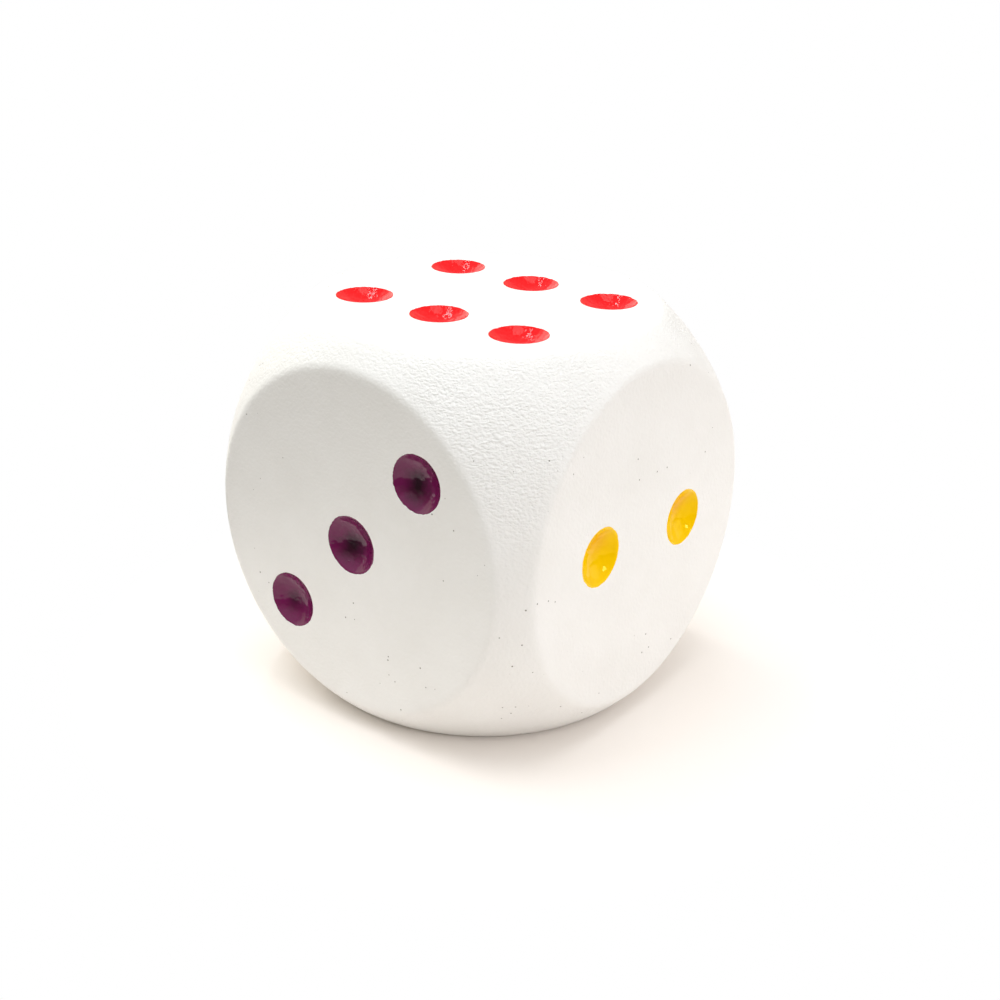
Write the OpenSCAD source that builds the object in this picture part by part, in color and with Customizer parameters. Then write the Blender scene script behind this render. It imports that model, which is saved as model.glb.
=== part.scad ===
// Giant yard die: a wooden cube glued up from four boards, turned to a sphere at its corners,
// painted white all over, with a drop of coloured enamel in each of its 21 round pip recesses.
// The die stands on its one. The six is up (+Z), the three faces -Y and the two faces +X, and
// opposite faces add up to seven. The origin is the centre of the face that it stands on.

/* [Die] */
// Distance between opposite flat faces
edge = 89; // [84:1:96]
// Diameter of the sphere that rounds the corners, as a share of the edge
ball_ratio = 1.325; // [1.28:0.005:1.37]
// Radius that softens the rim of each flat face
rim_round = 3; // [1.5:0.5:4]

/* [Pips] */
// Width of a pip at the face
pip_d = 12.8; // [10:0.2:14]
// Depth of a pip at its centre
pip_depth = 3; // [2:0.1:4]
// Spacing of the pips along each row of three on the six
six_pitch = 21.6; // [18:0.2:22]
// Distance between the two rows on the six
six_gap = 32.4; // [28:0.2:34]
// Width of the square that the four and the five share, and the three's diagonal crosses
square_w = 36.6; // [32:0.2:38]
// Height of that square
square_h = 38.2; // [32:0.2:40]
// Distance between the pips of the two
two_gap = 32.2; // [28:0.2:36]
// Tilt of the two's line of pips from level, in degrees
two_tilt = 3; // [0:1:6]

/* [Finish] */
// Thickness of the white coat
coat = 0.4; // [0.3:0.1:0.8]
// Thickness of the enamel in a pip
enamel = 0.3; // [0.2:0.1:0.6]

/* [Hidden] */
half = edge / 2;
ball_r = ball_ratio * half;
board_t = 2 * (half - coat) / 4;

// A recess is part of a sphere whose centre stands off the face by cup_rise
cup_r = (pow(pip_d / 2, 2) + pow(pip_depth, 2)) / (2 * pip_depth);
cup_rise = cup_r - pip_depth;

// How far a cutter reaches past the surface that it cuts
past = 1;

// Turns that take a face drawn at +Z, with its right-hand side along +X, to each number's place
FACE_TURN = [
    undef,
    [180, 0, 0],
    [90, 0, 90],
    [90, 0, 0],
    [90, 0, 180],
    [90, 0, 270],
    [0, 0, 0],
];
FACE_COLOUR = [undef, "royalblue", "gold", "#5f2147", "seagreen", "darkorange", "#e8232b"];

// Each pip: name, the number of its face, and its place across and up that face
PIPS = [
    ["pip_one", 1, 0, 0],
    ["pip_two_left", 2, -two_gap / 2 * cos(two_tilt), two_gap / 2 * sin(two_tilt)],
    ["pip_two_right", 2, two_gap / 2 * cos(two_tilt), -two_gap / 2 * sin(two_tilt)],
    ["pip_three_low", 3, -square_w / 2, -square_h / 2],
    ["pip_three_middle", 3, 0, 0],
    ["pip_three_high", 3, square_w / 2, square_h / 2],
    ["pip_four_low_left", 4, -square_w / 2, -square_h / 2],
    ["pip_four_low_right", 4, square_w / 2, -square_h / 2],
    ["pip_four_high_left", 4, -square_w / 2, square_h / 2],
    ["pip_four_high_right", 4, square_w / 2, square_h / 2],
    ["pip_five_low_left", 5, -square_w / 2, -square_h / 2],
    ["pip_five_low_right", 5, square_w / 2, -square_h / 2],
    ["pip_five_middle", 5, 0, 0],
    ["pip_five_high_left", 5, -square_w / 2, square_h / 2],
    ["pip_five_high_right", 5, square_w / 2, square_h / 2],
    ["pip_six_front_left", 6, -six_pitch, -six_gap / 2],
    ["pip_six_front_middle", 6, 0, -six_gap / 2],
    ["pip_six_front_right", 6, six_pitch, -six_gap / 2],
    ["pip_six_back_left", 6, -six_pitch, six_gap / 2],
    ["pip_six_back_middle", 6, 0, six_gap / 2],
    ["pip_six_back_right", 6, six_pitch, six_gap / 2],
];

// Boards from the bottom up
BOARDS = ["bottom_board", "lower_middle_board", "upper_middle_board", "top_board"];

$fn = 128;

// Puts what is drawn about the die's centre on its stand at the origin
module stood_up() {
    translate([0, 0, half]) children();
}

// Puts what is drawn at +Z on the face with this number
module on_face(number) {
    rotate(FACE_TURN[number]) children();
}

// Half section of the sharp rim that the softening takes off one flat face
module rim_section(inset) {
    soft_r = rim_round - inset;
    flat = half - inset;
    ball = ball_r - inset;
    soft_x = sqrt(pow(ball - soft_r, 2) - pow(flat - soft_r, 2));
    soft_z = flat - soft_r;
    beyond = (ball + past) / (ball - soft_r);
    difference() {
        polygon([
            [soft_x, soft_z],
            [soft_x, flat + past],
            [soft_x * beyond, flat + past],
            [soft_x * beyond, soft_z * beyond],
        ]);
        translate([soft_x, soft_z]) circle(r = soft_r);
    }
}

// The cube turned to a sphere at its corners, with soft rims, all lying inset under the surface
module turned_cube(inset) {
    difference() {
        intersection() {
            sphere(r = ball_r - inset);
            cube(2 * (half - inset), center = true);
        }
        for (number = [1:6]) {
            on_face(number) rotate_extrude() rim_section(inset);
        }
    }
}

// The ball that scoops out one pip, larger by grow all round
module cup(pip, grow) {
    on_face(pip[1]) translate([pip[2], pip[3], half + cup_rise]) sphere(r = cup_r + grow);
}

// The die's outline lying inset under its painted surface, with all of its recesses
module scooped_cube(inset) {
    difference() {
        turned_cube(inset);
        for (pip = PIPS) {
            cup(pip, inset);
        }
    }
}

module white_coat() {
    color("whitesmoke") stood_up() difference() {
        scooped_cube(0);
        scooped_cube(coat);
    }
}

// One board of the blank, counted from the bottom
module board(index) {
    color("burlywood") stood_up() intersection() {
        scooped_cube(coat);
        translate([-half, -half, coat - half + index * board_t]) cube([edge, edge, board_t]);
    }
}

// The film of enamel that lines one recess, level with the face at its rim
module pip_enamel(pip) {
    color(FACE_COLOUR[pip[1]]) stood_up() difference() {
        intersection() {
            cup(pip, 0);
            cube(edge, center = true);
        }
        cup(pip, -enamel);
    }
}

white_coat();
for (index = [0:len(BOARDS) - 1]) {
    board(index);
}
for (pip = PIPS) {
    pip_enamel(pip);
}
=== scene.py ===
"""Giant yard die: the painted coat, its enamel pips, the stage, the lights and the camera.

Lengths are in metres in the CAD frame. The die stands on its one, with the six up.
"""

import math

import bmesh
import bpy
import numpy as np
from mathutils import Matrix, Vector, geometry, noise

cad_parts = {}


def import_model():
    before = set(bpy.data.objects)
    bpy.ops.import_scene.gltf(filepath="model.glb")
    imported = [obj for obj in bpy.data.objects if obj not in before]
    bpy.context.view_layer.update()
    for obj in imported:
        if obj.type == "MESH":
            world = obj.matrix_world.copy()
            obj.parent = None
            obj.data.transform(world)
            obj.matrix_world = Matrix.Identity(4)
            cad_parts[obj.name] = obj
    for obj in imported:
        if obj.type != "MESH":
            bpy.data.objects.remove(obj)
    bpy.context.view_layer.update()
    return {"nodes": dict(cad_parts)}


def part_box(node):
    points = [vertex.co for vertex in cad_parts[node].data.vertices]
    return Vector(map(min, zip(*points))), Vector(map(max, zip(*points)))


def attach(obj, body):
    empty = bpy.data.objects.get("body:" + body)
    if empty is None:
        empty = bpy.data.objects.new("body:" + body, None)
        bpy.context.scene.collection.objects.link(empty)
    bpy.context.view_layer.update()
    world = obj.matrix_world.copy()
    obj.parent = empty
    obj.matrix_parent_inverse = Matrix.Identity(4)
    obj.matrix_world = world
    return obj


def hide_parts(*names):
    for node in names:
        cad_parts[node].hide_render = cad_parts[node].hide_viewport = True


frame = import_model()

MM = 0.001

# ---------------------------------------------------------------- sizes read from the frame
COAT = "white_coat"
coat_low, coat_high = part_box(COAT)
CENTRE = (coat_low + coat_high) / 2
HALF = (coat_high.z - coat_low.z) / 2
coat_vertices = np.array([v.co for v in frame["nodes"][COAT].data.vertices])
BALL_R = float(np.linalg.norm(coat_vertices - np.array(CENTRE), axis=1).max())

# ---------------------------------------------------------------- sizes of the visible detail
RIM_ROUND = 3.0 * MM        # radius of the softened rim round each flat face
LIP_ROUND = 0.4 * MM        # radius of the paint's lip round each pip
SOFTER_LIPS = {             # and round the pips whose lip was sanded softer
    "pip_two_left": 0.8 * MM,
    "pip_two_right": 0.6 * MM,
    "pip_three_middle": 0.7 * MM,
}
RIM_STEPS = 4               # rings across the softened rim
TURNED_STEPS = 20           # rings from a rim to the middle of the turned corner
INNER_RINGS = 2             # rings of quads just inside a flat face's edge
CUP_STEPS = 9               # rings across a pip's cup
LIP_STEPS = 4               # rings across its lip
AROUND = 384                # points round one face
PIP_AROUND = 64             # points round one pip in the coat
SKIRT = 0.6 * MM            # width of the band of quads round each lip
FLAT_SPACING = 1.35 * MM    # spacing of the points that fill a flat face
FLAT_GAP = 0.6 * FLAT_SPACING   # least distance from those points to the rings round them
ROW_SHARE = 0.866           # distance between their rows, as a share of their spacing
WELD = 0.001 * MM           # points nearer than this are joined

GRAIN_HEIGHT = 0.05 * MM    # height of the broad wood grain under the paint
BROAD_GRAIN = (16, 3.0)     # its length along and across the wood, in millimetres
FINE_GRAIN = (7, 1.5)       # and that of the fine grain on it
FINE_GRAIN_SHARE = 0.6      # height of the fine grain, as a share of the broad grain's
FINE_GRAIN_SHIFT = 31       # keeps the two patterns from lining up
RIM_WEIGHT = 0.5            # share of the grain's height that shows at the outer end of a rim
GRAIN_FADE = 2.0 * MM       # distance from there at which all of it shows

# Turns that take a face drawn at +Z, with its right-hand side along +X, to each number's place
FACE_TURN = {
    1: (180, 0, 0),
    2: (90, 0, 90),
    3: (90, 0, 0),
    4: (90, 0, 180),
    5: (90, 0, 270),
    6: (0, 0, 0),
}
NUMBER_WORDS = {"one": 1, "two": 2, "three": 3, "four": 4, "five": 5, "six": 6}


def face_matrix(number):
    """Rotation from a face drawn at +Z about the die's centre to its place."""
    x, y, z = (math.radians(a) for a in FACE_TURN[number])
    return Matrix.Rotation(z, 3, "Z") @ Matrix.Rotation(y, 3, "Y") @ Matrix.Rotation(x, 3, "X")


def to_row(number, points):
    """Points about the die's centre, drawn at +Z, as points in the row frame."""
    turn = np.array(face_matrix(number))
    return np.asarray(points) @ turn.T + np.array(CENTRE)


def from_row(number, point):
    """A point in the row frame as one about the die's centre, drawn at +Z."""
    return face_matrix(number).transposed() @ (Vector(point) - CENTRE)


# ---------------------------------------------------------------- the pips, from their CAD nodes
class Pip:
    """One pip: its face, its place across and up that face, its cup and the lip round it."""

    def __init__(self, node):
        low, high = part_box(node)
        sides = sorted(high - low)
        self.node = node
        self.number = NUMBER_WORDS[node.split("_")[1]]
        middle = from_row(self.number, (low + high) / 2)
        self.u, self.v = middle.x, middle.y
        self.depth = sides[0]
        self.radius = (sides[1] + sides[2]) / 4
        self.cup_r = (self.radius ** 2 + self.depth ** 2) / (2 * self.depth)
        self.rise = self.cup_r - self.depth
        self.lip = SOFTER_LIPS.get(node, LIP_ROUND)


PIPS = [Pip(name) for name in sorted(frame["nodes"]) if name.startswith("pip_")]


def lip_arc(pip):
    """The paint's lip: the radius at which it meets the face, and the angle it turns through."""
    reach = pip.cup_r + pip.lip
    out = math.sqrt(reach ** 2 - (pip.rise + pip.lip) ** 2)
    tilt = math.atan2(out, pip.rise + pip.lip)
    return out, tilt


def cup_profile(pip):
    """Radius and height over the face, from near the cup's middle to the outer end of its lip."""
    out, tilt = lip_arc(pip)
    rows = []
    for i in range(1, CUP_STEPS + 1):
        a = tilt * i / CUP_STEPS
        rows.append((pip.cup_r * math.sin(a), pip.rise - pip.cup_r * math.cos(a)))
    for i in range(1, LIP_STEPS + 1):
        a = tilt * (1 - i / LIP_STEPS)
        rows.append((out - pip.lip * math.sin(a), pip.lip * (math.cos(a) - 1)))
    return rows


# ---------------------------------------------------------------- mesh helpers
class Mesh:
    """Collects vertices and faces, with one value a vertex, then makes one welded mesh object."""

    def __init__(self):
        self.points, self.faces, self.values = [], [], []

    def add(self, points, value=0.0):
        """Adds points, with one value for all or one each, and returns the first one's index."""
        first = len(self.points)
        self.points.extend(map(tuple, points))
        self.values.extend([value] * len(points) if np.isscalar(value) else list(value))
        return first

    def ring_quads(self, inner, outer, count):
        """Quads between two rings of count points that start at these indices."""
        for i in range(count):
            j = (i + 1) % count
            self.faces.append((inner + i, outer + i, outer + j, inner + j))

    def fan(self, centre, ring, count):
        """Triangles from one point to the ring round it."""
        for i in range(count):
            self.faces.append((centre, ring + i, ring + (i + 1) % count))

    def make(self, name, attribute=None):
        """The object, with the vertices' values in an attribute if it has a name."""
        mesh = bpy.data.meshes.new(name)
        mesh.from_pydata(self.points, [], self.faces)
        if attribute:
            layer = mesh.attributes.new(attribute, "FLOAT", "POINT")
            layer.data.foreach_set("value", np.array(self.values, np.float32))
        bm = bmesh.new()
        bm.from_mesh(mesh)
        bmesh.ops.remove_doubles(bm, verts=bm.verts, dist=WELD)
        bmesh.ops.recalc_face_normals(bm, faces=bm.faces)
        bm.to_mesh(mesh)
        bm.free()
        mesh.shade_smooth()
        obj = bpy.data.objects.new(name, mesh)
        bpy.context.scene.collection.objects.link(obj)
        return obj


def circle(radius, height, count, centre=(0.0, 0.0)):
    """Points round a level circle."""
    turn = np.arange(count) * 2 * math.pi / count
    return np.stack([
        centre[0] + radius * np.cos(turn),
        centre[1] + radius * np.sin(turn),
        np.full(count, height),
    ], axis=1)


# ---------------------------------------------------------------- the painted coat
def wood_noise(place, lengths, shift=0):
    """A noise drawn out along X by these lengths along and across the wood."""
    x, y, z = place
    along, across = lengths
    return noise.noise(Vector((x / along + shift, y / across, z / across)))


def grain(point):
    """Height of the grain under the paint, for a point about the die's centre. It runs along X."""
    place = [c / MM for c in point]
    broad = wood_noise(place, BROAD_GRAIN)
    fine = wood_noise(place, FINE_GRAIN, FINE_GRAIN_SHIFT)
    return GRAIN_HEIGHT * (broad + FINE_GRAIN_SHARE * fine)


def turned_sections():
    """The radius of the flat faces, and the rings round one of them, each with its grain's share.

    The rings cross its softened rim and go on to the ridges where its corners meet the next face's.
    """
    soft_z = HALF - RIM_ROUND
    soft_x = math.sqrt((BALL_R - RIM_ROUND) ** 2 - soft_z ** 2)
    start = math.atan2(soft_z, soft_x)
    sections = []
    for i in range(RIM_STEPS):
        a = math.pi / 2 + (start - math.pi / 2) * i / RIM_STEPS
        ring = circle(soft_x + RIM_ROUND * math.cos(a), soft_z + RIM_ROUND * math.sin(a), AROUND)
        sections.append((ring, np.full(AROUND, i / RIM_STEPS * RIM_WEIGHT)))
    turn = np.arange(AROUND) * 2 * math.pi / AROUND
    end = np.arctan(np.maximum(np.abs(np.cos(turn)), np.abs(np.sin(turn))))
    for i in range(TURNED_STEPS + 1):
        t = i / TURNED_STEPS
        a = start + (end - start) * t
        ring = np.stack([
            BALL_R * np.cos(a) * np.cos(turn),
            BALL_R * np.cos(a) * np.sin(turn),
            BALL_R * np.sin(a),
        ], axis=1)
        from_rim = BALL_R * (start - a)
        share = RIM_WEIGHT + from_rim / GRAIN_FADE * (1 - RIM_WEIGHT)
        sections.append((ring, np.clip(share, 0, 1)))
    return soft_x, sections


def turned_zone(mesh, number, sections):
    """The softened rim round one flat face, and its part of the turned corners, with their grain."""
    previous = None
    for points, shares in sections:
        row = to_row(number, points) - np.array(CENTRE)
        moved = []
        for p, share in zip(row, shares):
            shift = grain(p) * share * share if share > 0 else 0.0
            moved.append(p * (1 + shift / np.linalg.norm(p)) + np.array(CENTRE))
        first = mesh.add(moved, shares)
        if previous is not None:
            mesh.ring_quads(previous, first, AROUND)
        previous = first


def triangular_grid(radius, spacing):
    """Points of a triangular grid inside a circle."""
    rows = int(radius / spacing / ROW_SHARE) + 1
    columns = int(radius / spacing) + 1
    points = []
    for j in range(-rows, rows + 1):
        for i in range(-columns, columns + 1):
            p = Vector(((i + (j % 2) * 0.5) * spacing, j * spacing * ROW_SHARE))
            if p.length < radius:
                points.append(p)
    return points


def inner_rings(mesh, number, edge_r):
    """The rings just inside a flat face's edge. Returns the radius of the last."""
    step = edge_r * 2 * math.pi / AROUND
    previous = mesh.add(to_row(number, circle(edge_r, HALF, AROUND)))
    for i in range(1, INNER_RINGS + 1):
        ring = mesh.add(to_row(number, circle(edge_r - i * step, HALF, AROUND)))
        mesh.ring_quads(previous, ring, AROUND)
        previous = ring
    return edge_r - INNER_RINGS * step


def pip_cup(mesh, pip):
    """One pip's cup, its lip and the band of the face round it. Returns the band's outer radius."""
    out, _ = lip_arc(pip)
    place = (pip.u, pip.v)
    skirt_r = out + SKIRT
    rows = cup_profile(pip) + [(skirt_r, 0.0)]
    middle = mesh.add(to_row(pip.number, [(pip.u, pip.v, HALF - pip.depth)]))
    rings = []
    for r, z in rows:
        rings.append(mesh.add(to_row(pip.number, circle(r, HALF + z, PIP_AROUND, place))))
    mesh.fan(middle, rings[0], PIP_AROUND)
    for inner, outer in zip(rings, rings[1:]):
        mesh.ring_quads(inner, outer, PIP_AROUND)
    return skirt_r


def fill_face(mesh, number, field_r, cups):
    """Even triangles inside this radius and outside the cups, each given by a centre and a radius."""
    outlines = [(Vector((0, 0)), field_r, AROUND)]
    outlines += [(centre, radius, PIP_AROUND) for centre, radius in cups]
    points, edges = [], []
    for centre, radius, count in outlines:
        first = len(points)
        points += [Vector(p[:2]) for p in circle(radius, 0, count, centre)]
        edges += [(first + i, first + (i + 1) % count) for i in range(count)]
    for p in triangular_grid(field_r - FLAT_GAP, FLAT_SPACING):
        if all((p - centre).length > radius + FLAT_GAP for centre, radius in cups):
            points.append(p)
    same_point = 1e-9
    flat, _, triangles, *_ = geometry.delaunay_2d_cdt(points, edges, [], 0, same_point)
    first = mesh.add(to_row(number, [(p.x, p.y, HALF) for p in flat]))
    just_inside = 0.999
    for t in triangles:
        middle = sum((flat[i] for i in t), Vector((0, 0))) / len(t)
        if all((middle - centre).length > radius * just_inside for centre, radius in cups):
            mesh.faces.append(tuple(first + i for i in t))


def flat_face(mesh, number, edge_r):
    """One flat face: rings inside its rim, cups with lips for its pips, and a filled field between."""
    field_r = inner_rings(mesh, number, edge_r)
    cups = []
    for pip in PIPS:
        if pip.number == number:
            cups.append((Vector((pip.u, pip.v)), pip_cup(mesh, pip)))
    fill_face(mesh, number, field_r, cups)


def painted_coat():
    """The whole painted surface, in one piece. Its "turned" attribute is one on turned corners."""
    mesh = Mesh()
    edge_r, sections = turned_sections()
    for number in FACE_TURN:
        turned_zone(mesh, number, sections)
        flat_face(mesh, number, edge_r)
    return mesh.make("painted_coat", "turned")


# ---------------------------------------------------------------- the enamel in each pip
ENAMEL_AROUND = 128
FILM_RIM = 0.05 * MM        # film thickness at the lip
FILM_POOL = 0.30 * MM       # film thickness at the middle of the cup
FILM_SUNK = 0.05 * MM       # how far the film's underside lies in the coat
EDGE_SUNK = 0.2 * FILM_SUNK     # and how far its top does, at its very edge
ENAMEL_R = 6.36 * MM        # radius at which the enamel ends, on the lip
WIDER_ENAMEL = {            # and of the pips in which it was brushed further out
    "pip_two_left": 6.66 * MM,
    "pip_two_right": 6.53 * MM,
    "pip_three_middle": 6.60 * MM,
}
EDGE_GAP = 0.03 * MM        # least distance from the enamel's edge to the outer end of the lip
FACE_GAP = 0.0003 * MM      # least distance from the enamel up to the level of the flat face
RAGGED_EDGE = ((0.11 * MM, 5), (0.09 * MM, 19))     # height and fineness of the waves in its edge
RAGGED_POWER = 4            # how closely those waves keep to the edge
BROAD_WAVE = 3.1            # length in millimetres of the broad waves in its surface
FINE_WAVE = 1.2             # and of the fine ones
WAVE_HEIGHT = 0.050         # height in millimetres of both
WAVE_POWER = 6              # how close to the edge they reach
SEED_STEPS = (17.3, 5.1, 9.7)   # from one pip's noise to the next one's

THINNER = {"pip_three_low": 0.18}       # pips with less pigment in the pool
POOL_AND_SHADE_PLACE = (-1.4 * MM, -1.5 * MM)     # where the pigment is darker, across and up the cup: partly pooled pigment, partly painted shade where the lip shades the cup
OTHER_POOL_AND_SHADE_PLACES = {2: (0.8 * MM, 2.6 * MM)}     # and in the cups of this number
POOL_AND_SHADE_R = 7.2 * MM           # distance from there at which it is thin
# Shares of the film's section, from its middle to its edge, close together where it ends
FILM_RINGS = [0.0, 0.05, 0.1, 0.15, 0.2, 0.25, 0.3, 0.35, 0.4, 0.45, 0.5, 0.55, 0.6, 0.65, 0.7,
              0.75, 0.8, 0.84, 0.88, 0.91, 0.94, 0.96, 0.975, 0.985, 0.993, 1.0]


def film_point(pip, along, turn):
    """Place and normal of the coat at this length along its section, from the cup's middle."""
    out, tilt = lip_arc(pip)
    cup_length = pip.cup_r * tilt
    along = min(along, cup_length + pip.lip * tilt - EDGE_GAP)
    if along <= cup_length:
        a = along / pip.cup_r
        r, z = pip.cup_r * math.sin(a), pip.rise - pip.cup_r * math.cos(a)
    else:
        a = tilt - (along - cup_length) / pip.lip
        r, z = out - pip.lip * math.sin(a), pip.lip * (math.cos(a) - 1)
    c, d = math.cos(turn), math.sin(turn)
    normal = Vector((-math.sin(a) * c, -math.sin(a) * d, math.cos(a)))
    return Vector((r * c, r * d, z)), normal


def film_waves(place, seed):
    """Height of the waves that the drying enamel leaves, for a place in millimetres."""
    broad = noise.noise(place / BROAD_WAVE + seed)
    fine = noise.noise(place / FINE_WAVE + seed * 2)
    return (WAVE_HEIGHT * broad + WAVE_HEIGHT * fine) * MM


def under_face(place):
    """The place, no higher than just under the flat face."""
    return Vector((place.x, place.y, min(place.z, -FACE_GAP)))


def film_ring(pip, seed, section, share):
    """Points round the film's top and its underside, at this share of its section's length."""
    top, under = [], []
    for i in range(ENAMEL_AROUND):
        turn = i * 2 * math.pi / ENAMEL_AROUND
        ray = Vector((math.cos(turn), math.sin(turn), 0))
        ragged = sum(height * noise.noise(ray * fineness + seed) for height, fineness in RAGGED_EDGE)
        place, normal = film_point(pip, section * share + ragged * share ** RAGGED_POWER, turn)
        film = FILM_RIM + (FILM_POOL - FILM_RIM) * (1 - share ** 2)
        film += film_waves(place / MM, seed) * (1 - share ** WAVE_POWER)
        if share == 1.0:
            film = -EDGE_SUNK
        top.append(under_face(place + normal * film))
        under.append(place - normal * FILM_SUNK)
    return top, under


def thinness_and_shade(pip, place):
    """How far this place lies from the dark pool (pooled pigment and painted shade), as a share of its
    radius, and more if it is thin.
    """
    # Painted shade: the dark pool is set off the cup's middle, on the side the lip shades, so its
    # darker colour paints that shade.
    across, up = OTHER_POOL_AND_SHADE_PLACES.get(pip.number, POOL_AND_SHADE_PLACE)
    return math.hypot(place.x - across, place.y - up) / POOL_AND_SHADE_R + THINNER.get(pip.node, 0.0)


def place_film(pip, points):
    """Points about the middle of the pip's face, in the row frame."""
    return to_row(pip.number, [(p.x + pip.u, p.y + pip.v, p.z + HALF) for p in points])


def enamel(pip, index):
    """The enamel film of one pip: an uneven glossy top that ends in a ragged edge on the lip."""
    out, tilt = lip_arc(pip)
    seed = Vector([index * step for step in SEED_STEPS])
    end = math.asin((out - WIDER_ENAMEL.get(pip.node, ENAMEL_R)) / pip.lip)
    section = pip.cup_r * tilt + pip.lip * (tilt - end)
    mesh = Mesh()
    tops, unders = [], []
    for share in FILM_RINGS:
        top, under = film_ring(pip, seed, section, share)
        count = 1 if share == 0.0 else ENAMEL_AROUND
        thin = [thinness_and_shade(pip, p) for p in top[:count]]
        tops.append(mesh.add(place_film(pip, top[:count]), thin))
        unders.append(mesh.add(place_film(pip, under[:count]), thin))
    for rings in (tops, unders):
        mesh.fan(rings[0], rings[1], ENAMEL_AROUND)
        for inner, outer in zip(rings[1:], rings[2:]):
            mesh.ring_quads(inner, outer, ENAMEL_AROUND)
    mesh.ring_quads(tops[-1], unders[-1], ENAMEL_AROUND)
    return mesh.make("enamel_" + pip.node.removeprefix("pip_"), "thinness_and_shade")


# ---------------------------------------------------------------- material helpers
def new_material(name):
    material = bpy.data.materials.new(name)
    material.use_nodes = True
    nodes = material.node_tree.nodes
    return material, nodes, material.node_tree.links, nodes["Principled BSDF"]


def object_place(nodes):
    """The place on the object, in its own coordinates."""
    return nodes.new("ShaderNodeTexCoord").outputs["Object"]


def attribute_node(nodes, name):
    node = nodes.new("ShaderNodeAttribute")
    node.attribute_name = name
    return node.outputs["Fac"]


def axes_node(nodes, links, vector):
    """The X, Y and Z of a vector."""
    node = nodes.new("ShaderNodeSeparateXYZ")
    links.new(vector, node.inputs["Vector"])
    return node.outputs


def math_node(nodes, links, operation, first, second=None, third=None):
    """A Math node; each input is a number or another node's output."""
    node = nodes.new("ShaderNodeMath")
    node.operation = operation
    for slot, value in zip(node.inputs, (first, second, third)):
        if value is None:
            continue
        if isinstance(value, (int, float)):
            slot.default_value = value
        else:
            links.new(value, slot)
    return node.outputs["Value"]


def vector_node(nodes, links, operation, first, second=(0, 0, 0)):
    """A Vector Math node, for an output and a fixed vector."""
    node = nodes.new("ShaderNodeVectorMath")
    node.operation = operation
    links.new(first, node.inputs[0])
    node.inputs[1].default_value = second
    return node.outputs


def noise_node(nodes, links, vector, scale, detail=2.0):
    node = nodes.new("ShaderNodeTexNoise")
    node.inputs["Scale"].default_value = scale
    node.inputs["Detail"].default_value = detail
    links.new(vector, node.inputs["Vector"])
    return node.outputs["Fac"]


def cell_node(nodes, links, vector, scale):
    """Distance from the nearest of some scattered points, in units of their spacing."""
    node = nodes.new("ShaderNodeTexVoronoi")
    node.inputs["Scale"].default_value = scale
    links.new(vector, node.inputs["Vector"])
    return node.outputs["Distance"]


def ramp_node(nodes, links, factor, stops):
    """A colour ramp with these places and colours."""
    node = nodes.new("ShaderNodeValToRGB")
    ramp = node.color_ramp
    while len(ramp.elements) < len(stops):
        ramp.elements.new(0.5)
    for element, (position, colour) in zip(ramp.elements, stops):
        element.position = position
        element.color = (*colour, 1)
    links.new(factor, node.inputs["Fac"])
    return node.outputs["Color"]


def smooth_step(nodes, links, value, low, high):
    """Nought where the value is low, one where it is high, and smooth between."""
    node = nodes.new("ShaderNodeMapRange")
    node.interpolation_type = "SMOOTHSTEP"
    node.inputs["From Min"].default_value = low
    node.inputs["From Max"].default_value = high
    links.new(value, node.inputs["Value"])
    return node.outputs["Result"]


def mix_shader(nodes, links, factor, first, second):
    node = nodes.new("ShaderNodeMixShader")
    links.new(factor, node.inputs["Fac"])
    links.new(first, node.inputs[1])
    links.new(second, node.inputs[2])
    return node.outputs["Shader"]


def raise_surface(nodes, links, shader, height, distance):
    """Bump on the shader's surface: a height of one stands out by the distance."""
    bump = nodes.new("ShaderNodeBump")
    bump.inputs["Distance"].default_value = distance
    links.new(height, bump.inputs["Height"])
    links.new(bump.outputs["Normal"], shader.inputs["Normal"])


# ---------------------------------------------------------------- white paint
# The scale of a pattern is how fine it is, in waves a metre
PAINT_BUMP = 0.24 * MM      # height of the paint's bump
FIBRE_SCALE = 2000          # fibres that the turning raised
FIBRE_DETAIL = 3.0
FIBRES_ALL_OVER = 0.16      # their share of the bump on all the turned corners
FIBRES_AT_CORNER = 1.30     # and what is added to it near an upper corner
FIBRE_TURN_R = HALF * 0.72  # an angle round the die as a length: it is short, so fibres are long
FIBRE_NEAR = 14 * MM        # distance from a corner's middle to which they are at their highest
FIBRE_FAR = 40 * MM         # and at which nothing is added
FIBRES_LEFT = -30 * MM      # place across the die up to which less is added
FIBRES_RIGHT = 10 * MM      # and from which all of it is
LEFT_SHARE = 0.10           # the share that is added on the left
PEEL_SCALE = 1300           # fine orange peel
PEEL_DETAIL = 1.0
PEEL_SHARE = 0.56           # its share of the bump
MOTTLE_SCALE = 75           # faint patches in the colour
MOTTLE_DETAIL = 5.0
PAINT_TONES = [(0.3, (0.845, 0.835, 0.815)), (0.7, (0.875, 0.867, 0.852))]
SHEEN_SCALE = 260           # patches in the roughness
PAINT_ROUGH = 0.36          # least roughness
SHEEN_SHARE = 0.16          # and what the patches add

HOLE_SCALE = 340            # cells that may each hold a pinhole
CLUSTER_SCALE = 45          # clusters of pinholes
CLUSTER_SHARE = 0.72        # how much a cluster adds to their size
HOLE_OFFSET = -0.30         # what is taken off it, so that there are few outside a cluster
HIGH_OFFSET = -0.04         # and what more is taken off it higher up
HOLES_LOW = 8 * MM          # height up to which pinholes are commonest
HOLES_HIGH = 26 * MM        # and from which they are rarest
LARGEST_HOLE = 0.078        # in units of the cells
HOLE_SHARPNESS = 30         # how abruptly a pinhole's edge falls away
HOLE_SHARE = 0.4            # depth of a pinhole in the bump
# painted shade: the dark colour inside each pinhole stands for the shade in the tiny hole
PINHOLE_SHADE_COLOUR = (0.25, 0.23, 0.20, 1)


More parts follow.
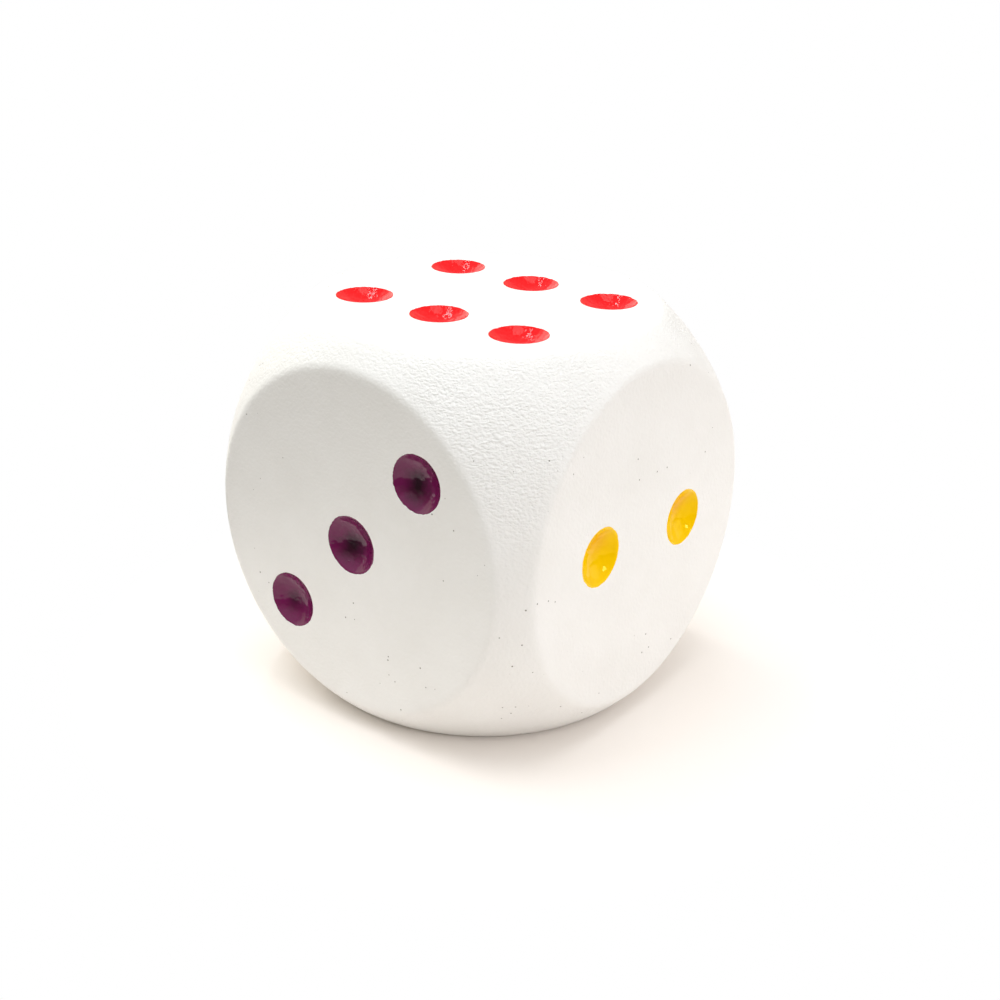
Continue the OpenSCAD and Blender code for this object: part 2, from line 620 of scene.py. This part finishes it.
def white_paint():
    """Satin white: faint mottling and peel, fibres raised where the die was turned, pinholes painted
    dark as the shade in them.
    """
    material, nodes, links, shader = new_material("white_paint")
    place = object_place(nodes)
    hole = pinholes(nodes, links, place)
    fibres = raised_fibres(nodes, links, place)
    peel = noise_node(nodes, links, place, PEEL_SCALE, PEEL_DETAIL)
    height = math_node(nodes, links, "MULTIPLY_ADD", peel, PEEL_SHARE, fibres)
    height = math_node(nodes, links, "MULTIPLY_ADD", hole, -HOLE_SHARE, height)
    raise_surface(nodes, links, shader, height, PAINT_BUMP)

    mottle = noise_node(nodes, links, place, MOTTLE_SCALE, MOTTLE_DETAIL)
    # Painted shade: the pinholes are coloured dark, as the shade in them.
    mix = nodes.new("ShaderNodeMix")
    mix.data_type = "RGBA"
    links.new(hole, mix.inputs["Factor"])
    links.new(ramp_node(nodes, links, mottle, PAINT_TONES), mix.inputs["A"])
    mix.inputs["B"].default_value = PINHOLE_SHADE_COLOUR
    links.new(mix.outputs["Result"], shader.inputs["Base Color"])

    sheen = noise_node(nodes, links, place, SHEEN_SCALE)
    rough = math_node(nodes, links, "MULTIPLY_ADD", sheen, SHEEN_SHARE, PAINT_ROUGH)
    links.new(rough, shader.inputs["Roughness"])
    return material


def raised_fibres(nodes, links, place):
    """Height of the fibres on the turned corners."""
    drawn_out = round_the_die(nodes, links, place)
    fibres = noise_node(nodes, links, drawn_out, FIBRE_SCALE, FIBRE_DETAIL)
    corner = near_upper_corner(nodes, links, place)
    share = math_node(nodes, links, "MULTIPLY_ADD", corner, FIBRES_AT_CORNER, FIBRES_ALL_OVER)
    share = math_node(nodes, links, "MULTIPLY", share, attribute_node(nodes, "turned"))
    return math_node(nodes, links, "MULTIPLY", fibres, share)


def round_the_die(nodes, links, place):
    """Place measured round the die, out from its upright axis and up, drawn out along the first."""
    x, y, z = axes_node(nodes, links, place)
    turn = math_node(nodes, links, "ARCTAN2", y, x)
    out = math_node(nodes, links, "MULTIPLY", x, x)
    out = math_node(nodes, links, "MULTIPLY_ADD", y, y, out)
    out = math_node(nodes, links, "SQRT", out)
    joined = nodes.new("ShaderNodeCombineXYZ")
    links.new(math_node(nodes, links, "MULTIPLY", turn, FIBRE_TURN_R), joined.inputs["X"])
    links.new(out, joined.inputs["Y"])
    links.new(z, joined.inputs["Z"])
    return joined.outputs["Vector"]


def near_upper_corner(nodes, links, place):
    """One near the middle of an upper turned corner, less on the left, and nought at the ridges."""
    across = BALL_R / math.sqrt(3)
    corner = (across, across, HALF + across)
    folded = vector_node(nodes, links, "ABSOLUTE", place)["Vector"]
    distance = vector_node(nodes, links, "DISTANCE", folded, corner)["Value"]
    far = smooth_step(nodes, links, distance, FIBRE_NEAR, FIBRE_FAR)
    near = math_node(nodes, links, "SUBTRACT", 1.0, far)
    x, _, _ = axes_node(nodes, links, place)
    right = smooth_step(nodes, links, x, FIBRES_LEFT, FIBRES_RIGHT)
    side = math_node(nodes, links, "MULTIPLY_ADD", right, 1 - LEFT_SHARE, LEFT_SHARE)
    return math_node(nodes, links, "MULTIPLY", near, side)


def pinholes(nodes, links, place):
    """One inside the tiny pinholes where air left the grain: in loose clusters, more low down."""
    from_hole = cell_node(nodes, links, place, HOLE_SCALE)
    cluster = noise_node(nodes, links, place, CLUSTER_SCALE)
    _, _, z = axes_node(nodes, links, place)
    high = smooth_step(nodes, links, z, HOLES_LOW, HOLES_HIGH)
    offset = math_node(nodes, links, "MULTIPLY_ADD", high, HIGH_OFFSET, HOLE_OFFSET)
    size = math_node(nodes, links, "MULTIPLY_ADD", cluster, CLUSTER_SHARE, offset)
    size = math_node(nodes, links, "MINIMUM", size, LARGEST_HOLE)
    inside = math_node(nodes, links, "SUBTRACT", size, from_hole)
    sharp = math_node(nodes, links, "MULTIPLY", inside, HOLE_SHARPNESS)
    sharp = math_node(nodes, links, "MAXIMUM", sharp, 0.0)
    return math_node(nodes, links, "MINIMUM", sharp, 1.0)


# ---------------------------------------------------------------- gloss enamel
PATCH_SCALE = 330           # uneven patches in the pigment
PATCH_DETAIL = 3.0
PATCH_SHARE = 0.55          # what they add to its thinness
POOLED_AND_SHADED_AT = 0.36            # thinness up to which the colour is the pooled one, darker, partly as painted shade
THIN_AT = 0.86              # and from which it is the thin one
SWIRL_SCALE = 750           # the brush's swirls
SWIRL_DETAIL = 1.5
ENAMEL_ROUGH = 0.02         # least roughness
SWIRL_ROUGH = 0.08          # and what the swirls add
NIB_SCALE = 700             # nibs of dust under the gloss
NIB_SIZE = 0.14             # in units of their spacing
NIB_SHARE = 0.5             # height of a nib in the bump, where a swirl is one

# Each number's enamel: its slot, its colour where it is thin and where it has pooled (darker, partly
# painted shade), its gloss, the height in millimetres of the small waves in it, and any tint of its
# gloss
ENAMELS = {
    1: ("blue_enamel", (0.02, 0.12, 0.55), (0.01, 0.06, 0.34), 0.5, 0.08),
    2: ("yellow_enamel", (0.96, 0.60, 0.0), (0.89, 0.45, 0.0), 0.30, 0.02, (1, 0.90, 0.18)),
    3: ("plum_enamel", (0.158, 0.008, 0.076), (0.024, 0.005, 0.013), 0.36, 0.13),
    4: ("green_enamel", (0.02, 0.34, 0.09), (0.008, 0.20, 0.05), 0.5, 0.08),
    5: ("orange_enamel", (0.95, 0.22, 0.004), (0.80, 0.13, 0.002), 0.5, 0.08),
    6: ("red_enamel", (0.86, 0.005, 0.008), (0.76, 0.001, 0.002), 0.20, 0.20),
}


def gloss_enamel(name, thin, pooled_and_shaded, gloss, waves, tint=(1, 1, 1)):
    """Brushed-in enamel: the pigment is darker in a pool off the cup's middle, partly pooled pigment
    and partly painted shade from the lip, and is thin at its lip.
    """
    material, nodes, links, shader = new_material(name)
    place = object_place(nodes)
    patches = noise_node(nodes, links, place, PATCH_SCALE, PATCH_DETAIL)
    thinness_and_shade_here = attribute_node(nodes, "thinness_and_shade")
    uneven = math_node(nodes, links, "MULTIPLY_ADD", patches, PATCH_SHARE, thinness_and_shade_here)
    # Painted shade: the darker pooled colour stands in partly for the shade inside the cup.
    colour = ramp_node(nodes, links, uneven, [(POOLED_AND_SHADED_AT, pooled_and_shaded), (THIN_AT, thin)])
    links.new(colour, shader.inputs["Base Color"])
    shader.inputs["Specular IOR Level"].default_value = gloss
    shader.inputs["Specular Tint"].default_value = (*tint, 1)

    swirl = noise_node(nodes, links, place, SWIRL_SCALE, SWIRL_DETAIL)
    rough = math_node(nodes, links, "MULTIPLY_ADD", swirl, SWIRL_ROUGH, ENAMEL_ROUGH)
    links.new(rough, shader.inputs["Roughness"])
    from_nib = cell_node(nodes, links, place, NIB_SCALE)
    nib = smooth_step(nodes, links, from_nib, NIB_SIZE, 0.0)
    height = math_node(nodes, links, "MULTIPLY_ADD", nib, NIB_SHARE, swirl)
    raise_surface(nodes, links, shader, height, waves * MM)
    return material


# ---------------------------------------------------------------- bare wood, inside the coat
WOOD_STRETCH = (12, 160, 160)   # fineness of the wood's grain along X, Y and Z
WOOD_SCALE = 2.0
WOOD_DETAIL = 6
WOOD_TONES = [(0.3, (0.50, 0.33, 0.18)), (0.7, (0.72, 0.54, 0.35))]
WOOD_BUMP = 0.1 * MM
WOOD_ROUGH = 0.65


def blank_wood():
    """Sanded wood with its grain along X, for the boards inside the coat."""
    material, nodes, links, shader = new_material("blank_wood")
    stretch = nodes.new("ShaderNodeMapping")
    stretch.inputs["Scale"].default_value = WOOD_STRETCH
    links.new(object_place(nodes), stretch.inputs["Vector"])
    grain_here = noise_node(nodes, links, stretch.outputs["Vector"], WOOD_SCALE, WOOD_DETAIL)
    links.new(ramp_node(nodes, links, grain_here, WOOD_TONES), shader.inputs["Base Color"])
    raise_surface(nodes, links, shader, grain_here, WOOD_BUMP)
    shader.inputs["Roughness"].default_value = WOOD_ROUGH
    return material


# ---------------------------------------------------------------- the die
coat = painted_coat()
coat.data.materials.append(white_paint())
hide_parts(COAT)
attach(coat, "root")

enamel_materials = {number: gloss_enamel(*settings) for number, settings in ENAMELS.items()}
for index, pip in enumerate(PIPS):
    film = enamel(pip, index)
    film.data.materials.append(enamel_materials[pip.number])
    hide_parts(pip.node)
    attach(film, "root")

wood = blank_wood()
for name, node in frame["nodes"].items():
    if name.endswith("_board"):
        node.data.materials.clear()
        node.data.materials.append(wood)

# ---------------------------------------------------------------- stage
FLOOR_R = 6.0
FLOOR_RINGS = (0.05, 0.1, 0.2, 0.6, 1.5, FLOOR_R)
FLOOR_AROUND = 96
PAPER_R = 0.220             # radius of the white paper that lights the die from below
PAPER_FADE = 0.02
PAPER_PLACE = (0.12, 0, 0)
PAPER_COLOUR = (0.912, 0.862, 0.820, 1)
BEHIND = (-0.62, 0.79, 0)   # the direction that lies behind the die
BACK_PAPER_START = 0.06     # distance behind the die at which more white paper begins
BACK_PAPER_WHITE = 0.12     # and from which it is all white
DARK_FLOOR = (0.10, 0.10, 0.10, 1)      # the floor beyond the paper, to all but the camera
SEEN_PAPER_R = 0.053        # from here outwards the camera sees the paper fade to the backdrop
SEEN_WHITE_R = 0.099
WHITE = (1, 1, 1, 1)


def floor():
    """A white floor that melts into the backdrop.

    Paper under the die and behind it throws light up. Beyond it, only the camera sees white.
    """
    mesh = Mesh()
    middle = mesh.add([(0, 0, 0)])
    rings = [mesh.add(circle(r, 0, FLOOR_AROUND)) for r in FLOOR_RINGS]
    mesh.fan(middle, rings[0], FLOOR_AROUND)
    for inner, outer in zip(rings, rings[1:]):
        mesh.ring_quads(inner, outer, FLOOR_AROUND)
    obj = mesh.make("floor")
    obj.data.materials.append(floor_paper())


def floor_paper():
    """Matt white paper, dark where it would throw too much light, and glowing far from the die."""
    material, nodes, links, paper = new_material("floor_paper")
    paper.inputs["Base Color"].default_value = PAPER_COLOUR
    paper.inputs["Roughness"].default_value = 0.9
    paper.inputs["Specular IOR Level"].default_value = 0.1
    dark = nodes.new("ShaderNodeBsdfDiffuse")
    dark.inputs["Color"].default_value = DARK_FLOOR
    glow = nodes.new("ShaderNodeEmission")
    glow.inputs["Color"].default_value = WHITE

    place = object_place(nodes)
    from_paper = vector_node(nodes, links, "DISTANCE", place, PAPER_PLACE)["Value"]
    off_paper = smooth_step(nodes, links, from_paper, PAPER_R, PAPER_R + PAPER_FADE)
    back = vector_node(nodes, links, "DOT_PRODUCT", place, BEHIND)["Value"]
    in_front = smooth_step(nodes, links, back, BACK_PAPER_WHITE, BACK_PAPER_START)
    off_paper = math_node(nodes, links, "MULTIPLY", off_paper, in_front)
    lit = mix_shader(nodes, links, off_paper, paper.outputs["BSDF"], dark.outputs["BSDF"])

    from_die = vector_node(nodes, links, "DISTANCE", place)["Value"]
    whitened = smooth_step(nodes, links, from_die, SEEN_PAPER_R, SEEN_WHITE_R)
    seen = mix_shader(nodes, links, whitened, paper.outputs["BSDF"], glow.outputs["Emission"])
    camera_ray = nodes.new("ShaderNodeLightPath").outputs["Is Camera Ray"]
    surface = mix_shader(nodes, links, camera_ray, lit, seen)
    links.new(surface, nodes["Material Output"].inputs["Surface"])
    return material


ROOM_FRONT = 0.143          # brightness of the dim room at the horizon, on the -Y side
ROOM_BACK = 0.42            # and on the +Y side
ROOM_OVERHEAD = 0.90        # and above
ROOM_RISE = (0.0, 0.6)      # from the horizon to overhead, as the Z of a direction
ROOM_SIDES = (-0.9, 0.2)    # from front to back, as its Y
ROOM_TINTS = [(0, (1, 0.85, 0.60)), (1, (0.98, 1, 1))]


def world():
    """White to the camera; to everything else a dim, warm room that is brighter overhead."""
    room = bpy.data.worlds.new("studio")
    bpy.context.scene.world = room
    room.use_nodes = True
    nodes, links = room.node_tree.nodes, room.node_tree.links
    direction = nodes.new("ShaderNodeTexCoord").outputs["Generated"]
    _, y, z = axes_node(nodes, links, direction)
    up = smooth_step(nodes, links, z, *ROOM_RISE)
    behind = smooth_step(nodes, links, y, *ROOM_SIDES)
    low = math_node(nodes, links, "MULTIPLY_ADD", behind, ROOM_BACK - ROOM_FRONT, ROOM_FRONT)
    over_low = math_node(nodes, links, "SUBTRACT", ROOM_OVERHEAD, low)
    strength = math_node(nodes, links, "MULTIPLY_ADD", over_low, up, low)
    lit = nodes["Background"]
    links.new(ramp_node(nodes, links, up, ROOM_TINTS), lit.inputs["Color"])
    links.new(strength, lit.inputs["Strength"])
    seen = nodes.new("ShaderNodeBackground")
    seen.inputs["Color"].default_value = WHITE
    camera_ray = nodes.new("ShaderNodeLightPath").outputs["Is Camera Ray"]
    both = mix_shader(nodes, links, camera_ray, lit.outputs["Background"], seen.outputs["Background"])
    links.new(both, nodes["World Output"].inputs["Surface"])


# Each soft light: its place in metres from the die's centre, its width and height, the
# direction of its height, its brightness, and its colour
UPRIGHT = (0, 0, 1)
SOFT_LIGHTS = {
    "right_key": ((0.94, 0.10, 0.33), (0.16, 0.16), UPRIGHT, 15.8, (0.93, 0.90, 1)),
    "overhead_strip": ((-0.36, -0.18, 1.00), (0.08, 1.00), (-0.35, 0.84, 0), 14.8, (0.90, 0.95, 1)),
    "top_fill": ((0.12, -0.08, 1.00), (0.50, 0.50), (0, 1, 0), 2.9, (1, 0.99, 0.98)),
    "front_fill": ((-0.25, -0.90, 0.42), (0.70, 0.70), UPRIGHT, 0.07, (1, 0.96, 0.80)),
    "left_window": ((-0.90, -0.18, 0.42), (0.80, 0.80), UPRIGHT, 0.74, (1, 0.95, 0.75)),
    "back_left_wall": ((-0.88, 0.32, 0.35), (0.60, 0.60), UPRIGHT, 1.4, (1, 0.97, 0.92)),
    "back_right_wall": ((0.80, 0.62, 0.22), (0.60, 0.50), UPRIGHT, 1.2, (1, 0.98, 0.96)),
}


def soft_light(name, away, size, tall, brightness, colour):
    """A rectangular light that faces the die, with the power that gives it this brightness."""
    data = bpy.data.lights.new(name, "AREA")
    data.shape = "RECTANGLE"
    data.size, data.size_y = size
    data.energy = brightness * math.pi * size[0] * size[1]
    data.color = colour
    obj = bpy.data.objects.new(name, data)
    back = Vector(away).normalized()
    wide = Vector(tall).cross(back).normalized()
    turn = Matrix((wide, back.cross(wide), back)).transposed().to_4x4()
    obj.matrix_world = Matrix.Translation(CENTRE + Vector(away)) @ turn
    bpy.context.scene.collection.objects.link(obj)


floor()
world()
for name, settings in SOFT_LIGHTS.items():
    soft_light(name, *settings)

# ---------------------------------------------------------------- camera
CAMERA_PLACE = Vector((203.9, -256.3, 139.2)) * MM + CENTRE
CAMERA_AIM = Vector((4.1, 1.3, -3.5)) * MM + CENTRE
CAMERA_ROLL = math.radians(1.37)
CAMERA_LENS = 55.1          # in millimetres, on a sensor 36 mm wide


def camera():
    """The camera at the photo's angle, leaning by its roll."""
    data = bpy.data.cameras.new("camera")
    data.lens = CAMERA_LENS
    data.sensor_width = 36
    data.clip_start = 0.01
    data.clip_end = 30
    obj = bpy.data.objects.new("camera", data)
    back = (CAMERA_PLACE - CAMERA_AIM).normalized()
    level = Vector((0, 0, 1)).cross(back).normalized()
    right = level * math.cos(CAMERA_ROLL) + back.cross(level) * math.sin(CAMERA_ROLL)
    turn = Matrix((right, back.cross(right), back)).transposed().to_4x4()
    obj.matrix_world = Matrix.Translation(CAMERA_PLACE) @ turn
    bpy.context.scene.collection.objects.link(obj)
    bpy.context.scene.camera = obj


camera()
bpy.context.scene.view_settings.view_transform = "Standard"
